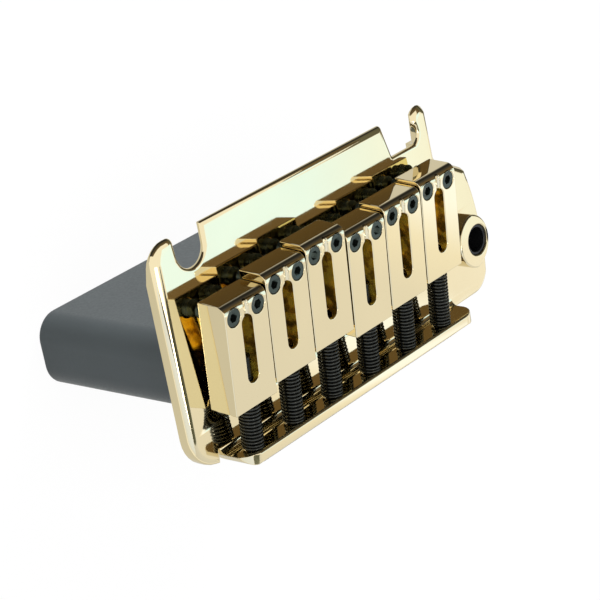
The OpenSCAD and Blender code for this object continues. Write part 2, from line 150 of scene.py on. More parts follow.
def length(name, description, default):
    return FloatProperty(
        name=name, description=description, default=default * MM,
        min=0.0, precision=5, unit="LENGTH", subtype="DISTANCE",
    )


class PlatingSettings(bpy.types.PropertyGroup):
    """Colours of the gold and the roundings of the plated pieces"""
    gold: colour("Gold", "Colour of the polished gold plating", "#f6e6bb")
    screw_gold: colour("Screw gold", "Duller gold of the block's screws and the nut", "#e2c98c")
    # Gold of the slot walls, deepened towards orange to paint the warm reflections that bounce
    # between the walls: partly their own gold, partly painted reflection
    slot_gold_and_reflection: colour("Cut gold", "Deeper gold of the walls inside the saddles' slots", "#e0b13c")
    plate_edge: length("Plate edge", "Rounding of the plate's upper edges at its sides", 1.1)
    front_edge: length("Front edge", "Rounding of the plate's front edge", 1.25)
    horn_edge: length("Horn edge", "Rounding of the horns' tips", 2.1)
    notch_edge: length("Notch edge", "Rounding of the post notches' upper edges", 0.8)
    wing_edge: length("Wing edge", "Rounding of the treble wing's upper edges", 0.25)
    lip_edge: length("Lip edge", "Rounding of the lip's edges", 0.12)
    saddle_edge: length("Saddle edge", "Rounding of the saddles' edges", 0.2)
    socket_edge: length("Socket edge", "Rounding of the arm socket's outer rim", 0.38)


class ScrewSettings(bpy.types.PropertyGroup):
    """Colours of the steel and the bush, and the sizes of the threads"""
    steel: colour("Height screw steel", "Colour of the height screws' steel", "#4d5750")
    long_steel: colour("Length screw steel", "Colour of the length screws' steel", "#2b2e2c")
    bush: colour("Bush", "Colour of the arm socket's plastic bush", "#0e0e0f")
    height_pitch: length("Height screw pitch", "Thread pitch of the height screws", 0.5)
    length_pitch: length("Length screw pitch", "Thread pitch of the length screws", 0.45)
    thread_depth: length("Thread depth", "Depth of the threads", 0.14)


class SpringSettings(bpy.types.PropertyGroup):
    """Colour of the springs and the sizes of their wire and turns"""
    wire_colour: colour("Spring wire", "Colour of the blackened spring wire", "#454641")
    wire: length("Wire", "Diameter of the spring wire", 0.45)
    coil: length("Coil", "Diameter of a spring, measured at the middle of its wire", 3.42)
    pitch: length("Pitch", "Distance between a spring's turns", 0.68)
    sides: IntProperty(
        name="Wire sides", description="Sides of the wire's section", default=10, min=6, max=24,
    )


class BlockSettings(bpy.types.PropertyGroup):
    """Colour and rounding of the block"""
    coating: colour("Coating", "Colour of the block's satin coating", "#464d50")
    edge: length("Edge", "Rounding of the block's lower edges", 0.4)


class StageSettings(bpy.types.PropertyGroup):
    """Colour of the floor and strength of the lamps"""
    floor: colour("Floor", "Colour of the floor", "#ffffff")
    lamp_strength: FloatProperty(
        name="Lamps", description="Strength of the soft lamps", default=1.0, min=0.0,
    )


# Materials


def add_node(tree, kind, settings=None, links=None):
    """Adds a node, sets its inputs and properties, and links its inputs to other sockets."""
    made = tree.nodes.new(kind)
    for key, value in (settings or {}).items():
        if key in made.inputs:
            made.inputs[key].default_value = value
        else:
            setattr(made, key, value)
    for key, source in (links or {}).items():
        tree.links.new(source, made.inputs[key])
    return made


def new_material(name):
    made = bpy.data.materials.new(name)
    made.use_nodes = True
    made.node_tree.nodes.clear()
    return made


def ramp(tree, source, stops):
    """A colour that runs through the given stops, each a place from 0 to 1 and a colour."""
    made = add_node(tree, "ShaderNodeValToRGB", links={"Fac": source})
    elements = made.color_ramp.elements
    while len(elements) < len(stops):
        elements.new(0.5)
    for element, (place, value) in zip(elements, stops):
        element.position = place
        element.color = (*value, 1)
    return made.outputs["Color"]


def grey_ramp(tree, source, stops):
    """A plain value that runs through the given stops."""
    return ramp(tree, source, [(place, (value,) * 3) for place, value in stops])


def finish_material(tree, shader):
    add_node(tree, "ShaderNodeOutputMaterial", links={"Surface": shader.outputs[0]})


def scaled(value, share):
    return tuple(min(1.0, c * share) for c in value)


def plating_material(name, gold, roughness, cut_roughness=None, slot_gold_and_reflection=None):
    """Electroplated gold on polished brass: a mirror with faint polishing haze and the
    slow waves that a buffing wheel leaves, a few millimetres long. Faces marked as cut by a
    tool, which no wheel reaches, are duller, and their colour is mottled from dark brown to
    bright yellow: painted shade and painted reflections on the slot walls."""
    made = new_material(name)
    tree = made.node_tree
    place = add_node(tree, "ShaderNodeTexCoord").outputs["Object"]
    haze = add_node(tree, "ShaderNodeTexNoise", {"Scale": 260.0, "Detail": 3.0}, {"Vector": place})
    hazy = grey_ramp(tree, haze.outputs["Fac"], [(0.3, roughness * 0.6), (0.75, roughness * 1.6)])
    if cut_roughness:
        marked = add_node(tree, "ShaderNodeAttribute", {"attribute_name": CUT_MARK}).outputs["Fac"]
        extra = maths(tree, "MULTIPLY", marked, cut_roughness)
        hazy = maths(tree, "ADD", hazy, extra)
    tone = add_node(tree, "ShaderNodeTexNoise", {"Scale": 60.0, "Detail": 2.0}, {"Vector": place})
    tint = ramp(tree, tone.outputs["Fac"], [(0.35, scaled(gold, 0.97)), (0.65, gold)])
    if cut_roughness:
        painted_slot_mix = add_node(tree, "ShaderNodeMix", {"data_type": "RGBA"})
        tree.links.new(marked, painted_slot_mix.inputs["Factor"])
        tree.links.new(tint, painted_slot_mix.inputs[MIX_FIRST])
        # Painted shade (dark brown) and painted reflections and glints (bright yellow) on the slot
        # walls, as a random mottle
        slot_light_noise = add_node(
            tree, "ShaderNodeTexNoise", {"Scale": 420.0, "Detail": 2.0}, {"Vector": place}
        )
        painted_slot_light = ramp(tree, slot_light_noise.outputs["Fac"], [
            (0.4, scaled(slot_gold_and_reflection, 0.3)), (0.5, scaled(slot_gold_and_reflection, 0.8)),
            (0.56, scaled(slot_gold_and_reflection, 1.6)),
        ])
        tree.links.new(painted_slot_light, painted_slot_mix.inputs[MIX_SECOND])
        tint = painted_slot_mix.outputs[MIX_RESULT]
    wave = add_node(tree, "ShaderNodeTexNoise", {"Scale": 240.0, "Detail": 1.0}, {"Vector": place})
    bump = add_node(
        tree, "ShaderNodeBump", {"Strength": 0.05, "Distance": 0.02 * MM},
        {"Height": wave.outputs["Fac"]},
    )
    shader = add_node(
        tree, "ShaderNodeBsdfPrincipled", {"Metallic": 1.0},
        {"Base Color": tint, "Roughness": hazy, "Normal": bump.outputs["Normal"]},
    )
    if cut_roughness:
        dulled = maths(tree, "SUBTRACT", 1.0, maths(tree, "MULTIPLY", marked, 0.2))
        tree.links.new(dulled, shader.inputs["Metallic"])
    finish_material(tree, shader)
    return made


def blackened_material(name, steel, roughness):
    """Black oxide on steel: dark with a blue-grey sheen, a little uneven from the bath."""
    made = new_material(name)
    tree = made.node_tree
    place = add_node(tree, "ShaderNodeTexCoord").outputs["Object"]
    cloud = add_node(tree, "ShaderNodeTexNoise", {"Scale": 900.0, "Detail": 4.0}, {"Vector": place})
    tint = ramp(tree, cloud.outputs["Fac"], [(0.3, scaled(steel, 0.75)), (0.7, steel)])
    rough = grey_ramp(tree, cloud.outputs["Fac"], [(0.3, roughness * 0.8), (0.7, roughness * 1.3)])
    shader = add_node(
        tree, "ShaderNodeBsdfPrincipled", {"Metallic": 0.9},
        {"Base Color": tint, "Roughness": rough},
    )
    finish_material(tree, shader)
    return made


def coating_material(name, grey):
    """Satin electrostatic coating on a steel block: fine orange peel about half a millimetre
    across, and a soft broad gloss."""
    made = new_material(name)
    tree = made.node_tree
    place = add_node(tree, "ShaderNodeTexCoord").outputs["Object"]
    cloud = add_node(tree, "ShaderNodeTexNoise", {"Scale": 90.0, "Detail": 4.0}, {"Vector": place})
    tint = ramp(tree, cloud.outputs["Fac"], [(0.3, scaled(grey, 0.92)), (0.7, grey)])
    peel = add_node(tree, "ShaderNodeTexNoise", {"Scale": 2200.0, "Detail": 2.0}, {"Vector": place})
    rough = grey_ramp(tree, peel.outputs["Fac"], [(0.3, 0.3), (0.7, 0.42)])
    bump = add_node(
        tree, "ShaderNodeBump", {"Strength": 0.12, "Distance": 0.03 * MM},
        {"Height": peel.outputs["Fac"]},
    )
    shader = add_node(
        tree, "ShaderNodeBsdfPrincipled", {"Metallic": 0.35, "IOR": 1.5},
        {"Base Color": tint, "Roughness": rough, "Normal": bump.outputs["Normal"]},
    )
    finish_material(tree, shader)
    return made


def bush_material(name, black):
    """Turned acetal: a near-black plastic with turning marks a fraction of a millimetre apart."""
    made = new_material(name)
    tree = made.node_tree
    place = add_node(tree, "ShaderNodeTexCoord").outputs["Object"]
    marks = add_node(
        tree, "ShaderNodeTexWave",
        {"bands_direction": "Z", "Scale": 1600.0, "Distortion": 0.4}, {"Vector": place},
    )
    rough = grey_ramp(tree, marks.outputs["Fac"], [(0.0, 0.34), (1.0, 0.46)])
    tint = ramp(tree, marks.outputs["Fac"], [(0.0, scaled(black, 0.85)), (1.0, black)])
    shader = add_node(
        tree, "ShaderNodeBsdfPrincipled", {"IOR": 1.48}, {"Base Color": tint, "Roughness": rough}
    )
    finish_material(tree, shader)
    return made


# Making pieces


def cad_copy(node, name):
    """A merged copy of a CAD node's mesh, with its flat faces made whole again."""
    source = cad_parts[node]
    made = bpy.data.objects.new(name, source.data.copy())
    bpy.context.scene.collection.objects.link(made)
    made.data.materials.clear()
    shape = bmesh.new()
    shape.from_mesh(made.data)
    bmesh.ops.remove_doubles(shape, verts=shape.verts, dist=WELD)
    bmesh.ops.dissolve_limit(
        shape, angle_limit=math.radians(0.6), use_dissolve_boundaries=False,
        verts=shape.verts, edges=shape.edges, delimit=set(),
    )
    shape.to_mesh(made.data)
    shape.free()
    return made


def round_edges(made, width, segments=3, chosen=None):
    """Rounds a mesh's sharp edges, each by the share of the width that chosen gives it, and
    gives it smooth shading."""
    sharp_angle = math.radians(30)
    mesh = made.data
    shape = bmesh.new()
    shape.from_mesh(mesh)
    weight = shape.edges.layers.float.new("bevel_weight_edge")
    for edge in shape.edges:
        sharp = len(edge.link_faces) == 2 and edge.calc_face_angle(0) > sharp_angle
        edge[weight] = float(chosen(edge) if chosen else 1) if sharp else 0.0
    shape.to_mesh(mesh)
    shape.free()
    bevel = made.modifiers.new("Rounded edges", "BEVEL")
    bevel.limit_method = "WEIGHT"
    bevel.width = width
    bevel.segments = segments
    bevel.use_clamp_overlap = False
    bevel.miter_outer = "MITER_ARC"
    bevel.harden_normals = True
    smooth(made)
    apply_modifiers(made)


def flatten_broad_faces(made, chosen):
    """Turns the normal at each chosen vertex towards its broadest faces, so that a polished
    flat mirrors as a flat up to its rounded edges."""
    group = made.vertex_groups.new(name="Flat mirrors")
    group.add([v.index for v in made.data.vertices if chosen(v.co)], 1.0, "REPLACE")
    weighted = made.modifiers.new("Flat mirrors", "WEIGHTED_NORMAL")
    weighted.vertex_group = group.name
    weighted.keep_sharp = True
    apply_modifiers(made)


def boundary_loops(shape, region):
    """The closed loops of vertices round a set of faces, each with the faces on its left."""
    inside = set(region)
    after = {}
    for face in region:
        for loop in face.loops:
            if all(other in inside for other in loop.edge.link_faces):
                continue
            after[loop.vert] = loop.link_loop_next.vert
    loops = []
    while after:
        start, vert = next(iter(after.items()))
        ring = [start]
        del after[start]
        while vert is not start:
            ring.append(vert)
            vert = after.pop(vert)
        loops.append(ring)
    return loops


def loop_area(ring):
    return sum(a.co.x * b.co.y - b.co.x * a.co.y for a, b in zip(ring, ring[1:] + ring[:1])) / 2


def wall_height(vert):
    """Height of the upright wall below a vertex of the top face, nought where there is none."""
    lean = 0.02
    for edge in vert.link_edges:
        foot = edge.other_vert(vert).co - vert.co
        if foot.z < 0 and math.hypot(foot.x, foot.y) < lean * -foot.z:
            return -foot.z
    return 0.0


def roll_reach(spot, plating):
    """How far the rounding of the plate's top edge reaches in from a spot on its outline."""
    if spot.x > WING_START * MM and spot.y < WING_FRONT * MM:
        return plating.front_edge if spot.y > WING_SHOULDER * MM else plating.wing_edge
    if spot.y > HORN_FOOT * MM and spot.x < -HORN_INSIDE * MM:
        return plating.horn_edge
    if spot.y > HORN_FOOT * MM and spot.x > HORN_OUTSIDE * MM:
        return 0.3 * plating.horn_edge
    if spot.y > HORN_TOP * MM and spot.x > HORN_INSIDE * MM:
        return 0.8 * plating.horn_edge
    if spot.y > NOTCH_FLOOR * MM and spot.x > (HORN_MIDDLE - HORN_ROOM) * MM:
        return 0.45 * plating.horn_edge
    if spot.y > FRONT_START * MM:
        return plating.front_edge
    if spot.y > NOTCH_FLOOR * MM and spot.x > BASS_SIDE * MM:
        return plating.notch_edge
    return plating.plate_edge


def evened(values, passes):
    """A closed row of values, each drawn towards its neighbours, with noughts left alone."""
    for _ in range(passes):
        values = [
            v and (values[k - 1] + 2 * v + values[(k + 1) % len(values)]) / 4
            for k, v in enumerate(values)
        ]
    return values


def steadied(spots, moves, near, passes):
    """A closed row of moves, each drawn towards those of the spots that lie near its own."""
    count = len(spots)
    for _ in range(passes):
        drawn = []
        for k, move in enumerate(moves):
            total, share = move * 2, 2
            for other in ((k - 1) % count, (k + 1) % count):
                if (spots[other] - spots[k]).length < near:
                    total, share = total + moves[other], share + 1
            drawn.append(total / share)
        moves = drawn
    return moves


def roll_top(made, plating, steps):
    """Rolls the outer edge of the plate's top face over, as far as its side wall allows."""
    front_half = -5 * MM
    # How near vertices lie that steady each other, and the width of the last, flat ring
    near = 0.9 * MM
    rim = 0.05 * MM
    sharpest_turn = 0.7
    # Shares of a wall that the rounding may take, before and after its depths are evened
    aimed_share = 0.92
    most_share = 0.95
    shape = bmesh.new()
    shape.from_mesh(made.data)
    top = [
        face for face in shape.faces
        if face.normal.z > 0.999 and all(abs(v.co.z) < SAME_HEIGHT for v in face.verts)
    ]
    loops = boundary_loops(shape, top)
    outer = max(loops, key=loop_area)
    holes = [ring for ring in loops if ring is not outer]
    bmesh.ops.delete(shape, geom=top, context="FACES_ONLY")
    count = len(outer)
    spots = [v.co.copy() for v in outer]
    walls = [wall_height(v) or (NOTCH_LAND * MM if v.co.y > front_half else 0.0) for v in outer]
    walls = [
        min(wall, NOTCH_LAND * MM)
        if spot.y > NOTCH_FLOOR * MM and abs(spot.x) < HORN_MIDDLE * MM else wall
        for wall, spot in zip(walls, spots)
    ]
    reaches = evened(
        [roll_reach(spot, plating) if wall else 0.0 for spot, wall in zip(spots, walls)],
        passes=4,
    )
    drops = evened(
        [min(reach, aimed_share * wall) for reach, wall in zip(reaches, walls)], passes=2
    )
    drops = [min(drop, most_share * wall) for drop, wall in zip(drops, walls)]
    soft = steadied(spots, spots, near, passes=8)
    inward = []
    for k in range(count):
        before = (soft[k] - soft[k - 1]).normalized()
        ahead = (soft[(k + 1) % count] - soft[k]).normalized()
        turn = Vector((-before.y - ahead.y, before.x + ahead.x, 0)).normalized()
        inward.append(turn / max(sharpest_turn, turn.dot(Vector((-ahead.y, ahead.x, 0)))))
    inward = steadied(spots, inward, near, passes=3)
    rings = [outer]
    for step in range(1, steps + 2):
        angle = min(step, steps) / steps * math.pi / 2
        beyond = rim if step > steps else 0.0
        ring = []
        for k in range(count):
            far = reaches[k] * (1 - math.cos(angle)) + (beyond if reaches[k] else 0.0)
            softened = spots[k].lerp(soft[k], math.sin(angle) if reaches[k] else 0.0)
            place = softened + inward[k] * far
            place.z -= drops[k] * (1 - math.sin(angle))
            ring.append(shape.verts.new(place))
        rings.append(ring)
    for vert, drop in zip(outer, drops):
        vert.co.z -= drop
    for low, high in zip(rings, rings[1:]):
        for k in range(count):
            n = (k + 1) % count
            shape.faces.new((low[k], low[n], high[n], high[k]))
    flat = [rings[-1], *holes]
    corners = [v for ring in flat for v in ring]
    for a, b, c in tessellate_polygon([[v.co for v in ring] for ring in flat]):
        if len({a, b, c}) == 3:
            shape.faces.new((corners[a], corners[b], corners[c]))
    bmesh.ops.remove_doubles(shape, verts=shape.verts, dist=ROLL_WELD)
    bmesh.ops.recalc_face_normals(shape, faces=shape.faces)
    shape.to_mesh(made.data)
    shape.free()


def mark_cuts(made, to_saddle):
    """Marks the walls of a saddle's slot."""
    mesh = made.data
    turned = to_saddle.inverted()
    marks = mesh.attributes.new(CUT_MARK, "FLOAT", "FACE")
    side = (SLOT_W / 2 + 0.05) * MM
    rear, front = -(SLOT_START + SLOT_LEN + 0.1) * MM, -(SLOT_START - 0.1) * MM
    for face in mesh.polygons:
        middle = turned @ face.center
        wall = abs((turned.to_3x3() @ face.normal).z) < 0.5
        inside = abs(middle.x) < side and rear < middle.y < front
        marks.data[face.index].value = 1.0 if wall and inside else 0.0


def apply_modifiers(made):
    """Turns an object's modifiers into a plain mesh."""
    bpy.context.view_layer.update()
    evaluated = made.evaluated_get(bpy.context.evaluated_depsgraph_get())
    mesh = bpy.data.meshes.new_from_object(evaluated)
    made.modifiers.clear()
    old = made.data
    made.data = mesh
    bpy.data.meshes.remove(old)
    mesh.name = made.name


def smooth(made, angle=32):
    """Shades a mesh smooth, but for edges sharper than an angle in degrees."""
    made.data.shade_smooth()
    made.data.set_sharp_from_angle(angle=math.radians(angle))


def dress(made, material, body, slot, *nodes):
    """Gives a piece its material and body, and lets it stand for its CAD nodes. The slot is not
    used.
    """
    made.data.materials.clear()
    made.data.materials.append(material)
    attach(made, body)
    if nodes:
        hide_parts(*nodes)


# Places


def lip_reach(i):
    """From a saddle's top at its height screws to the middle of its hole in the lip, as
    distances back and down."""
    return LIP_BACK - LIP_T / 2 - SADDLE_BACK[i - 1], SADDLE_TOP - LIP_HOLE_Z


def saddle_tilt(i):
    """How far a saddle leans back, so that its length screw meets the lip's hole."""
    reach, drop = lip_reach(i)
    return math.atan2(drop, reach) - math.asin(SCREW_DROP / math.hypot(reach, drop))


def axis_length(i):
    """From a saddle's height screws to the lip's middle, along the length screw."""
    reach, drop = lip_reach(i)
    return math.sqrt(reach ** 2 + drop ** 2 - SCREW_DROP ** 2)


def saddle_frame(i):
    """A saddle's own frame: X along the row, Y forward, Z out of its top, and its origin
    between its height screws."""
    place = Vector(((i - (STRINGS + 1) / 2) * STRING_PITCH, -SADDLE_BACK[i - 1], SADDLE_TOP)) * MM
    return Matrix.Translation(place) @ Matrix.Rotation(saddle_tilt(i), 4, "X")


# Geometry Nodes


def new_tree(name, inputs):
    """A geometry tree with a geometry input and output and the named inputs given."""
    tree = bpy.data.node_groups.new(name, "GeometryNodeTree")
    tree.interface.new_socket("Geometry", in_out="INPUT", socket_type="NodeSocketGeometry")
    tree.interface.new_socket("Geometry", in_out="OUTPUT", socket_type="NodeSocketGeometry")
    for label, kind in inputs:
        tree.interface.new_socket(label, in_out="INPUT", socket_type=kind)
    start = tree.nodes.new("NodeGroupInput")
    return tree, start


def maths(tree, operation, first, second=None):
    made = tree.nodes.new("ShaderNodeMath")
    made.operation = operation
    for place, value in enumerate((first, second)):
        if value is None:
            continue
        if isinstance(value, (int, float)):
            made.inputs[place].default_value = value
        else:
            tree.links.new(value, made.inputs[place])
    return made.outputs[0]


def run_tree(made, tree, values):
    """Runs a geometry tree on an object and keeps its result as a plain mesh."""
    modifier = made.modifiers.new(tree.name, "NODES")
    modifier.node_group = tree
    for item in tree.interface.items_tree:
        if item.in_out == "INPUT" and item.name in values:
            modifier[item.identifier] = values[item.name]
    apply_modifiers(made)


def finish_tree(tree, geometry, material_source):
    """Makes the geometry real, gives it its material and hands it out of the tree."""
    real = add_node(tree, "GeometryNodeRealizeInstances", links={"Geometry": geometry})
    painted = add_node(
        tree, "GeometryNodeSetMaterial",
        links={"Geometry": real.outputs[0], "Material": material_source},
    )
    add_node(tree, "NodeGroupOutput", links={"Geometry": painted.outputs[0]})


def spring_tree():
    """A compression spring along Y: its first and last turns lie closed, the rest are even."""
    tree, start = new_tree("Spring", [
        ("Length", "NodeSocketFloat"), ("Coil", "NodeSocketFloat"), ("Wire", "NodeSocketFloat"),
        ("Turns", "NodeSocketFloat"), ("Sides", "NodeSocketInt"),
        ("Material", "NodeSocketMaterial"),
    ])
    points_a_turn = 28
    # Shares of the wire's diameter: pitch of the closed turns, and room that they and the
    # wire itself take
    closed_pitch, closed_room = 1.04, 3.08
    given = start.outputs
    steps = maths(tree, "MULTIPLY", given["Turns"], points_a_turn)
    line = add_node(tree, "GeometryNodeCurvePrimitiveLine")
    points = add_node(
        tree, "GeometryNodeResampleCurve", links={"Curve": line.outputs[0], "Count": steps}
    )
    along = add_node(tree, "GeometryNodeSplineParameter").outputs["Factor"]
    turn = maths(tree, "MULTIPLY", along, given["Turns"])
    angle = maths(tree, "MULTIPLY", turn, math.tau)
    radius = maths(tree, "MULTIPLY", given["Coil"], 0.5)
    first = maths(tree, "MINIMUM", turn, 1.0)
    last_start = maths(tree, "SUBTRACT", given["Turns"], 1.0)
    last = maths(tree, "MAXIMUM", maths(tree, "SUBTRACT", turn, last_start), 0.0)
    open_turns = maths(tree, "SUBTRACT", given["Turns"], 2.0)
    middle = maths(tree, "SUBTRACT", maths(tree, "SUBTRACT", turn, first), last)
    tight = maths(tree, "MULTIPLY", given["Wire"], closed_pitch)
    room = maths(
        tree, "SUBTRACT", given["Length"], maths(tree, "MULTIPLY", given["Wire"], closed_room)
    )
    rise = maths(tree, "DIVIDE", room, open_turns)
    height = maths(tree, "ADD", maths(tree, "MULTIPLY", maths(tree, "ADD", first, last), tight),
                   maths(tree, "MULTIPLY", middle, rise))
    height = maths(tree, "ADD", height, maths(tree, "MULTIPLY", given["Wire"], 0.5))
    place = add_node(tree, "ShaderNodeCombineXYZ", links={
        "X": maths(tree, "MULTIPLY", maths(tree, "COSINE", angle), radius),
        "Y": height,
        "Z": maths(tree, "MULTIPLY", maths(tree, "SINE", angle), radius),
    })
    path = add_node(
        tree, "GeometryNodeSetPosition",
        links={"Geometry": points.outputs[0], "Position": place.outputs[0]},
    )
    section = add_node(
        tree, "GeometryNodeCurvePrimitiveCircle",
        links={"Resolution": given["Sides"], "Radius": maths(tree, "MULTIPLY", given["Wire"], 0.5)},
    )
    wire = add_node(
        tree, "GeometryNodeCurveToMesh", {"Fill Caps": True},
        {"Curve": path.outputs[0], "Profile Curve": section.outputs[0]},
    )
    finish_tree(tree, wire.outputs[0], given["Material"])
    return tree


def thread_tree():
    """A threaded shank along Z, open at both ends, joined to the rest of its screw."""
    tree, start = new_tree("Thread", [
        ("Low", "NodeSocketFloat"), ("High", "NodeSocketFloat"), ("Radius", "NodeSocketFloat"),
        ("Pitch", "NodeSocketFloat"), ("Depth", "NodeSocketFloat"), ("Rings", "NodeSocketInt"),
        ("Material", "NodeSocketMaterial"),
    ])
    given = start.outputs
    span = maths(tree, "SUBTRACT", given["High"], given["Low"])
    tube = add_node(
        tree, "GeometryNodeMeshCylinder", {"fill_type": "NONE", "Vertices": 32},
        {"Side Segments": given["Rings"], "Radius": given["Radius"], "Depth": span},
    )
    centre = maths(tree, "MULTIPLY", maths(tree, "ADD", given["High"], given["Low"]), 0.5)
    lifted = add_node(tree, "GeometryNodeTransform", links={
        "Geometry": tube.outputs["Mesh"],
        "Translation": add_node(tree, "ShaderNodeCombineXYZ", links={"Z": centre}).outputs[0],
    })
    where = add_node(tree, "GeometryNodeInputPosition").outputs[0]
    part = add_node(tree, "ShaderNodeSeparateXYZ", links={"Vector": where}).outputs
    angle = maths(tree, "ARCTAN2", part["Y"], part["X"])
    turns = maths(tree, "SUBTRACT", maths(tree, "DIVIDE", part["Z"], given["Pitch"]),
                  maths(tree, "DIVIDE", angle, math.tau))
    flank = maths(tree, "PINGPONG", turns, 0.5)
    ends = maths(tree, "MINIMUM", maths(tree, "SUBTRACT", part["Z"], given["Low"]),
                 maths(tree, "SUBTRACT", given["High"], part["Z"]))
    fade = maths(tree, "MINIMUM", maths(tree, "DIVIDE", ends, given["Pitch"]), 1.0)
    dip = maths(tree, "MULTIPLY", maths(tree, "MULTIPLY", flank, 2.0), given["Depth"])
    share = maths(tree, "DIVIDE", maths(tree, "MULTIPLY", dip, fade), given["Radius"])
    keep = maths(tree, "SUBTRACT", 1.0, share)
    place = add_node(tree, "ShaderNodeCombineXYZ", links={
        "X": maths(tree, "MULTIPLY", part["X"], keep),
        "Y": maths(tree, "MULTIPLY", part["Y"], keep),
        "Z": part["Z"],
    })
    cut = add_node(
        tree, "GeometryNodeSetPosition",
        links={"Geometry": lifted.outputs[0], "Position": place.outputs[0]},
    )
    joined = tree.nodes.new("GeometryNodeJoinGeometry")
    tree.links.new(given["Geometry"], joined.inputs[0])
    tree.links.new(cut.outputs[0], joined.inputs[0])
    merged = add_node(
        tree, "GeometryNodeMergeByDistance", {"Distance": 0.02 * MM},
        {"Geometry": joined.outputs[0]},
    )
    finish_tree(tree, merged.outputs[0], given["Material"])
    return tree


def strip_shank(made, radius, low, high):
    """Takes away a screw's plain shank, whose place a threaded one takes, along Z."""
    near = 0.04 * radius
    shape = bmesh.new()
    shape.from_mesh(made.data)
    doomed = []
    for face in shape.faces:
        middle = face.calc_center_median()
        around = all(abs(math.hypot(v.co.x, v.co.y) - radius) < near for v in face.verts)
        if around and low < middle.z < high and abs(face.normal.z) < 0.2:
            doomed.append(face)
    bmesh.ops.delete(shape, geom=doomed, context="FACES")
    shape.to_mesh(made.data)
    shape.free()


# The pieces, one operator for each


class BRIDGE_OT_plate(bpy.types.Operator):
    """Makes the polished plate with its lip"""
    bl_idname = "bridge.plate"
    bl_label = "Plate"

    def execute(self, context):
        plating = context.scene.bridge_plating
        gold = plating_material("Polished gold plating", tuple(plating.gold), roughness=0.05)
        made = cad_copy("baseplate", "polished_plate")
        roll_top(made, plating, steps=7)
        lip_foot = 0.4 * MM

        def on_lip(spot):
            return spot.z > lip_foot

        round_edges(
            made, plating.lip_edge, segments=2,
            chosen=lambda edge: all(on_lip(v.co) for v in edge.verts),
        )
        flatten_broad_faces(made, on_lip)
        dress(made, gold, "bridge", "gold_plate", "baseplate")
        return {"FINISHED"}


class BRIDGE_OT_saddles(bpy.types.Operator):
    """Makes the slotted saddles"""
    bl_idname = "bridge.saddles"
    bl_label = "Saddles"

    def execute(self, context):
        plating = context.scene.bridge_plating
        gold = plating_material(
            "Polished saddle plating", tuple(plating.gold), roughness=0.045,
            cut_roughness=0.14, slot_gold_and_reflection=tuple(plating.slot_gold_and_reflection),
        )
        for i in range(1, STRINGS + 1):
            made = cad_copy(f"saddle_{i}", f"slotted_saddle_{i}")
            round_edges(made, plating.saddle_edge)
            mark_cuts(made, saddle_frame(i))
            dress(made, gold, f"saddle_{i}", "gold_saddle", f"saddle_{i}")
        return {"FINISHED"}


class BRIDGE_OT_height_screws(bpy.types.Operator):
    """Makes the pairs of socket screws that set each saddle's height"""
    bl_idname = "bridge.height_screws"
    bl_label = "Height screws"

    def execute(self, context):
        screws = context.scene.bridge_screws
        steel = blackened_material("Blackened screw steel", tuple(screws.steel), roughness=0.28)
        tree = thread_tree()
        radius = HEIGHT_SCREW_R * MM
        plain_foot = 0.6 * MM
        for i in range(1, STRINGS + 1):
            for side, word in ((-1, "bass"), (1, "treble")):
                node = f"height_screw_{i}_{word}"
                to_row = saddle_frame(i) @ Matrix.Translation(
                    Vector((side * HEIGHT_SCREW_GAP / 2, 0, -HEIGHT_SCREW_SINK)) * MM
                )
                made = cad_copy(node, f"height_socket_screw_{i}_{word}")
                made.data.transform(to_row.inverted())
                low = min(v.co.z for v in made.data.vertices) + plain_foot
                strip_shank(made, radius, low, 0)
                run_tree(made, tree, {
                    "Low": low, "High": 0.0, "Radius": radius, "Pitch": screws.height_pitch,
                    "Depth": screws.thread_depth, "Rings": 96, "Material": steel,
                })
                made.data.transform(to_row)
                smooth(made, angle=40)
                dress(made, steel, node, "black_screw", node)
        return {"FINISHED"}


class BRIDGE_OT_length_screws(bpy.types.Operator):
    """Makes the long screws that set each saddle's place along its string"""
    bl_idname = "bridge.length_screws"
    bl_label = "Length screws"

    def execute(self, context):
        screws = context.scene.bridge_screws
        steel = blackened_material(
            "Blackened long-screw steel", tuple(screws.long_steel), roughness=0.3
        )
        tree = thread_tree()
        radius = LENGTH_SCREW_R * MM
        plain_head = 0.45 * MM
        for i in range(1, STRINGS + 1):
            node = f"intonation_screw_{i}"
            rear = -axis_length(i) - LIP_T / 2 + LENGTH_HEAD_SINK
            to_row = (
                saddle_frame(i)
                @ Matrix.Translation(Vector((0, rear, -SCREW_DROP)) * MM)
                @ Matrix.Rotation(math.radians(-90), 4, "X")
            )
            made = cad_copy(node, f"length_screw_{i}")
            made.data.transform(to_row.inverted())
            high = max(v.co.z for v in made.data.vertices)
            strip_shank(made, radius, plain_head, high)
            run_tree(made, tree, {
                "Low": plain_head, "High": high, "Radius": radius,
                "Pitch": screws.length_pitch, "Depth": screws.thread_depth, "Rings": 230,
                "Material": steel,
            })
            made.data.transform(to_row)
            smooth(made, angle=40)
            dress(made, steel, f"length_screw_{i}", "black_screw", node)
        return {"FINISHED"}


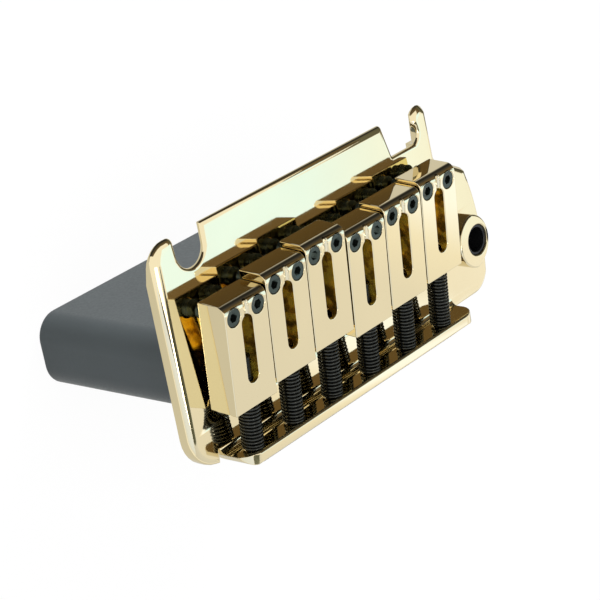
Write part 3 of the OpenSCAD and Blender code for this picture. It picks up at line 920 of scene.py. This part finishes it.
class BRIDGE_OT_springs(bpy.types.Operator):
    """Winds the springs that hold the saddles forward"""
    bl_idname = "bridge.springs"
    bl_label = "Springs"

    def execute(self, context):
        springs = context.scene.bridge_springs
        wire = blackened_material(
            "Blackened spring wire", tuple(springs.wire_colour), roughness=0.13
        )
        tree = spring_tree()
        end_gap = 0.03
        for i in range(1, STRINGS + 1):
            front = -SADDLE_REAR
            rear = -axis_length(i) + LIP_T / 2 / math.cos(saddle_tilt(i))
            span = (front - rear - 2 * end_gap) * MM
            half_turns = round((span - 2 * springs.wire) / springs.pitch * 2)
            name = f"length_spring_{i}"
            made = bpy.data.objects.new(name, bpy.data.meshes.new(name))
            context.scene.collection.objects.link(made)
            run_tree(made, tree, {
                "Length": span, "Coil": springs.coil, "Wire": springs.wire,
                "Turns": 2 + half_turns / 2, "Sides": springs.sides, "Material": wire,
            })
            to_row = saddle_frame(i)
            made.data.transform(
                to_row @ Matrix.Translation(Vector((0, rear + end_gap, -SCREW_DROP)) * MM)
            )
            made.data.shade_smooth()
            made.data.materials.clear()
            made.data.materials.append(wire)
            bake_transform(made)
            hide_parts(f"intonation_spring_{i}")
        return {"FINISHED"}


class BRIDGE_OT_block(bpy.types.Operator):
    """Makes the block below the plate and the screws that hold it"""
    bl_idname = "bridge.block"
    bl_label = "Block"

    def execute(self, context):
        block = context.scene.bridge_block
        grey = coating_material("Satin grey coating", tuple(block.coating))
        made = cad_copy("inertia_block", "coated_block")
        bottom = min(v.co.z for v in made.data.vertices)

        def lower(edge):
            return all(abs(v.co.z - bottom) < SAME_HEIGHT for v in edge.verts)

        round_edges(made, block.edge, chosen=lower)
        dress(made, grey, "bridge", "grey_block", "inertia_block")
        plating = context.scene.bridge_plating
        gold = plating_material("Screw gold", tuple(plating.screw_gold), roughness=0.16)
        made = cad_copy("block_screws", "cross_head_block_screws")
        round_edges(made, BLOCK_SCREW_EDGE * MM, segments=2)
        dress(made, gold, "bridge", "gold_screw", "block_screws")
        return {"FINISHED"}


class BRIDGE_OT_arm_socket(bpy.types.Operator):
    """Makes the arm socket with its bush and nut"""
    bl_idname = "bridge.arm_socket"
    bl_label = "Arm socket"

    def execute(self, context):
        plating = context.scene.bridge_plating
        screws = context.scene.bridge_screws
        gold = plating_material("Socket gold plating", tuple(plating.gold), roughness=0.06)
        nut_gold = plating_material(
            "Nut gold plating", tuple(plating.screw_gold), roughness=0.16
        )
        black = bush_material("Turned black acetal", tuple(screws.bush))
        made = cad_copy("arm_socket", "arm_socket_collar")
        top = max(v.co.z for v in made.data.vertices)

        def rim(edge):
            if any(abs(v.co.z - top) > SAME_HEIGHT for v in edge.verts):
                return 0.0
            middle = (edge.verts[0].co + edge.verts[1].co) / 2
            far = math.hypot(middle.x - SOCKET_X * MM, middle.y + SOCKET_BACK * MM)
            return 1.0 if far > SOCKET_BORE_R * MM else 0.8

        round_edges(made, plating.socket_edge, segments=4, chosen=rim)
        dress(made, gold, "bridge", "gold_plate", "arm_socket")
        made = cad_copy("arm_bush", "arm_socket_bush")
        round_edges(made, BUSH_EDGE * MM, segments=2)
        dress(made, black, "bridge", "black_bush", "arm_bush")
        made = cad_copy("arm_socket_nut", "arm_socket_hex_nut")
        round_edges(made, NUT_EDGE * MM)
        dress(made, nut_gold, "bridge", "gold_screw", "arm_socket_nut")
        return {"FINISHED"}


# Stage


def seeing_rays(tree):
    """1 for the rays that look at a surface, straight, in a mirror or through glass, and 0
    for those that carry its light to others."""
    sight = add_node(tree, "ShaderNodeLightPath").outputs
    mirrored = maths(tree, "MAXIMUM", sight["Is Camera Ray"], sight["Is Glossy Ray"])
    return maths(tree, "MAXIMUM", mirrored, sight["Is Transmission Ray"])


def floor_material(name, white):
    """A plain white floor that keeps the shadow and otherwise shows as white."""
    made = new_material(name)
    tree = made.node_tree
    plain_white = 0.95
    share = maths(tree, "MULTIPLY", seeing_rays(tree), plain_white)
    diffuse = add_node(tree, "ShaderNodeBsdfDiffuse", {"Color": (*white, 1)})
    glow = add_node(tree, "ShaderNodeEmission", {"Color": (*white, 1), "Strength": 1.0})
    mixed = add_node(
        tree, "ShaderNodeMixShader", links={0: share, 1: diffuse.outputs[0], 2: glow.outputs[0]}
    )
    finish_material(tree, mixed)
    return made


def white_studio(name):
    """A white world that lights the object less brightly than it looks."""
    world = bpy.data.worlds.new(name)
    world.use_nodes = True
    tree = world.node_tree
    tree.nodes.clear()
    lighting = 0.65
    strength = maths(
        tree, "ADD", maths(tree, "MULTIPLY", seeing_rays(tree), 1 - lighting), lighting
    )
    glow = add_node(
        tree, "ShaderNodeBackground", {"Color": (1, 1, 1, 1)}, {"Strength": strength}
    )
    add_node(tree, "ShaderNodeOutputWorld", links={"Surface": glow.outputs[0]})
    return world


def card_material(name, axis, span, stops):
    """A studio card that only polished surfaces show: its tone runs along one axis, over a
    span given in metres from the middle of the bridge."""
    made = new_material(name)
    tree = made.node_tree
    place = add_node(tree, "ShaderNodeTexCoord").outputs["Object"]
    along = add_node(tree, "ShaderNodeSeparateXYZ", links={"Vector": place}).outputs[axis]
    share = maths(tree, "DIVIDE", maths(tree, "SUBTRACT", along, span[0]), span[1] - span[0])
    glow = add_node(
        tree, "ShaderNodeEmission", {"Strength": 1.0}, {"Color": ramp(tree, share, stops)}
    )
    finish_material(tree, glow)
    return made


def stage_plane(name, corners, material):
    """A flat four-cornered piece of the stage."""
    mesh = bpy.data.meshes.new(name)
    mesh.from_pydata([tuple(c) for c in corners], [], [tuple(range(len(corners)))])
    made = bpy.data.objects.new(name, mesh)
    bpy.context.scene.collection.objects.link(made)
    mesh.materials.append(material)
    return made


def card(name, corners, axis, span, stops):
    """A card seen by reflections alone."""
    made = stage_plane(name, corners, card_material(name, axis, span, stops))
    made.visible_camera = False
    made.visible_diffuse = False
    made.visible_shadow = False
    made.visible_transmission = False


def even(value):
    """Stops of one even grey."""
    return [(0.0, (value,) * 3), (1.0, (value,) * 3)]


def upright(x0, x1, y, z0, z1):
    """Corners of a card that stands along the row of saddles."""
    return [(x0, y, z0), (x1, y, z0), (x1, y, z1), (x0, y, z1)]


def across(x, y0, y1, z0, z1):
    """Corners of a card that stands across the row of saddles."""
    return [(x, y0, z0), (x, y1, z0), (x, y1, z1), (x, y0, z1)]


def level(x0, x1, y0, y1, z):
    """Corners of a level card."""
    return [(x0, y0, z), (x1, y0, z), (x1, y1, z), (x0, y1, z)]


def soft_lamp(name, place, aim, size, power):
    light = bpy.data.lights.new(name, "AREA")
    light.energy = power
    light.shape = "SQUARE"
    light.size = size
    made = bpy.data.objects.new(name, light)
    bpy.context.scene.collection.objects.link(made)
    made.location = place
    made.rotation_euler = (Vector(aim) - Vector(place)).to_track_quat("-Z", "Y").to_euler()
    made.visible_glossy = False


def camera_at_photo(scene):
    """Adds the camera, where the camera of the photograph stood."""
    place = Vector((-0.245895, 0.111252, 0.23063))
    turn = Euler([math.radians(angle) for angle in (-9.34156, -48.70407, -15.40861)])
    # In pixels of the photograph: its width, and how far left of its middle the camera's
    # axis lies
    photo_width = 600
    axis_left = 11
    camera = bpy.data.cameras.new("Camera")
    camera.sensor_width = 36
    camera.lens = 126
    camera.shift_x = axis_left / photo_width
    camera.clip_start = 0.01
    camera.clip_end = 20
    made = bpy.data.objects.new("Camera", camera)
    scene.collection.objects.link(made)
    made.matrix_world = Matrix.LocRotScale(place, turn, None)
    scene.camera = made


class BRIDGE_OT_stage(bpy.types.Operator):
    """Sets up the floor, the light and the camera"""
    bl_idname = "bridge.stage"
    bl_label = "Stage"

    def execute(self, context):
        scene = context.scene
        stage = scene.bridge_stage
        floor_z = CAD_BOX[0][2] - 0.2 * MM
        table_z = floor_z + 0.1 * MM
        white = floor_material("White floor", tuple(stage.floor))
        stage_plane("Floor", level(-4, 4, -4, 4, floor_z), white)
        card("Dark wall card", upright(-0.9, 1.0, 0.6, floor_z, 1.2), "Z", (0.0, 1.3), [
            (0.0, (0.018,) * 3), (0.1, (0.025,) * 3), (0.24, (0.05,) * 3),
            (0.4, (0.08, 0.065, 0.045)), (0.62, (0.12, 0.09, 0.05)), (1.0, (0.16, 0.12, 0.07)),
        ])
        card("Dark table card", level(-0.9, 1.5, 0.06, 0.6, table_z), "Y", (0.06, 0.6), [
            (0.0, (0.6,) * 3), (0.06, (0.22,) * 3), (0.15, (0.05,) * 3), (1.0, (0.015,) * 3),
        ])
        card("Pale table card", level(-1.5, 1.5, -1.5, 0.06, table_z), "X", (-1.5, 1.5), [
            (0.0, (0.72, 0.72, 0.7)), (1.0, (0.6, 0.6, 0.58)),
        ])
        card("Cream card", upright(-0.4, 1.9, -0.75, 0.1, 1.5), "X", (-0.4, 1.9), [
            (0.0, (0.7, 0.72, 0.77)), (0.44, (0.77, 0.79, 0.84)), (0.66, (0.86, 0.86, 0.86)),
            (0.7, (0.98, 0.97, 0.92)), (0.74, (1.15, 1.25, 1.5)), (0.78, (1.15, 1.25, 1.5)),
            (0.81, (0.96, 0.97, 1.0)), (1.0, (1.1, 1.1, 1.15)),
        ])
        card("Cool softbox", across(1.6, -0.93, 0.12, 0.45, 3.2), "Z", (0.45, 3.2), [
            (0.0, (0.88, 0.9, 0.93)), (0.25, (0.93, 0.95, 0.98)), (0.3, (1.05, 1.15, 1.25)),
            (0.38, (0.93, 1.25, 1.6)), (1.0, (1.0, 1.25, 1.5)),
        ])
        card("Dim card", across(1.6, 0.12, 1.0, 0.2, 2.1), "Z", (0.2, 2.1), [
            (0.0, (0.05, 0.04, 0.03)), (0.5, (0.12, 0.09, 0.05)), (1.0, (0.2, 0.15, 0.09)),
        ])
        card("Low dim card", across(1.55, -0.35, 1.0, floor_z, 1.0), "Z", (0.0, 1.0), [
            (0.0, (0.04, 0.04, 0.03)), (1.0, (0.14, 0.14, 0.1)),
        ])
        card("Side card", upright(-3.0, -0.4, -0.9, 0.3, 2.3), "Z", (0.3, 2.3), [
            (0.0, (0.82, 0.86, 0.95)), (0.35, (0.84, 0.94, 1.15)), (1.0, (0.88, 0.98, 1.25)),
        ])
        card("Dark strip card", upright(-2.2, -0.9, -0.9, 2.3, 2.8), "X", (-2.2, -0.9), even(0.06))
        card("Dark canopy card", upright(-0.35, 1.2, -0.9, 1.6, 3.0), "Z", (1.6, 3.0), [
            (0.0, (0.5, 0.55, 0.5)), (0.22, (0.12, 0.13, 0.1)), (1.0, (0.05, 0.05, 0.04)),
        ])
        card("Bright strip card", upright(-2.2, -0.2, -0.9, 2.8, 4.2), "X", (-2.2, -0.2), even(2.6))
        card("Edge light card", upright(-0.8, -0.35, -0.9, 2.1, 2.8), "X", (-0.8, -0.35), even(9.0))
        scene.world = white_studio("White studio")
        lamps = stage.lamp_strength
        soft_lamp(
            "Overhead softbox", place=(-0.25, 0.1, 0.7), aim=(0, 0, 0),
            size=0.5, power=3.0 * lamps,
        )
        soft_lamp(
            "Front softbox", place=(0.35, 0.5, 0.03), aim=(0, 0, -0.02),
            size=0.25, power=7.0 * lamps,
        )
        scene.view_settings.view_transform = "Standard"
        camera_at_photo(scene)
        return {"FINISHED"}


class BRIDGE_PT_panel(bpy.types.Panel):
    """Lists the operators with the sizes and colours that they use"""
    bl_label = "Guitar Bridge"
    bl_space_type = "VIEW_3D"
    bl_region_type = "UI"
    bl_category = "Bridge"

    def draw(self, context):
        for operator in OPERATORS:
            self.layout.operator(operator.bl_idname)
        for name in GROUPS:
            group = getattr(context.scene, name)
            column = self.layout.column()
            for key in group.__annotations__:
                column.prop(group, key)


GROUPS = {
    "bridge_plating": PlatingSettings,
    "bridge_screws": ScrewSettings,
    "bridge_springs": SpringSettings,
    "bridge_block": BlockSettings,
    "bridge_stage": StageSettings,
}
OPERATORS = (
    BRIDGE_OT_plate,
    BRIDGE_OT_saddles,
    BRIDGE_OT_height_screws,
    BRIDGE_OT_length_screws,
    BRIDGE_OT_springs,
    BRIDGE_OT_block,
    BRIDGE_OT_arm_socket,
    BRIDGE_OT_stage,
)


def register():
    for cls in (*GROUPS.values(), *OPERATORS, BRIDGE_PT_panel):
        bpy.utils.register_class(cls)
    for name, group in GROUPS.items():
        setattr(bpy.types.Scene, name, PointerProperty(type=group))


def unregister():
    for name in GROUPS:
        delattr(bpy.types.Scene, name)
    for cls in (BRIDGE_PT_panel, *reversed(OPERATORS), *reversed(list(GROUPS.values()))):
        bpy.utils.unregister_class(cls)


def main():
    register()
    for operator in OPERATORS:
        group, name = operator.bl_idname.split(".")
        getattr(getattr(bpy.ops, group), name)()


if __name__ == "__main__":
    main()
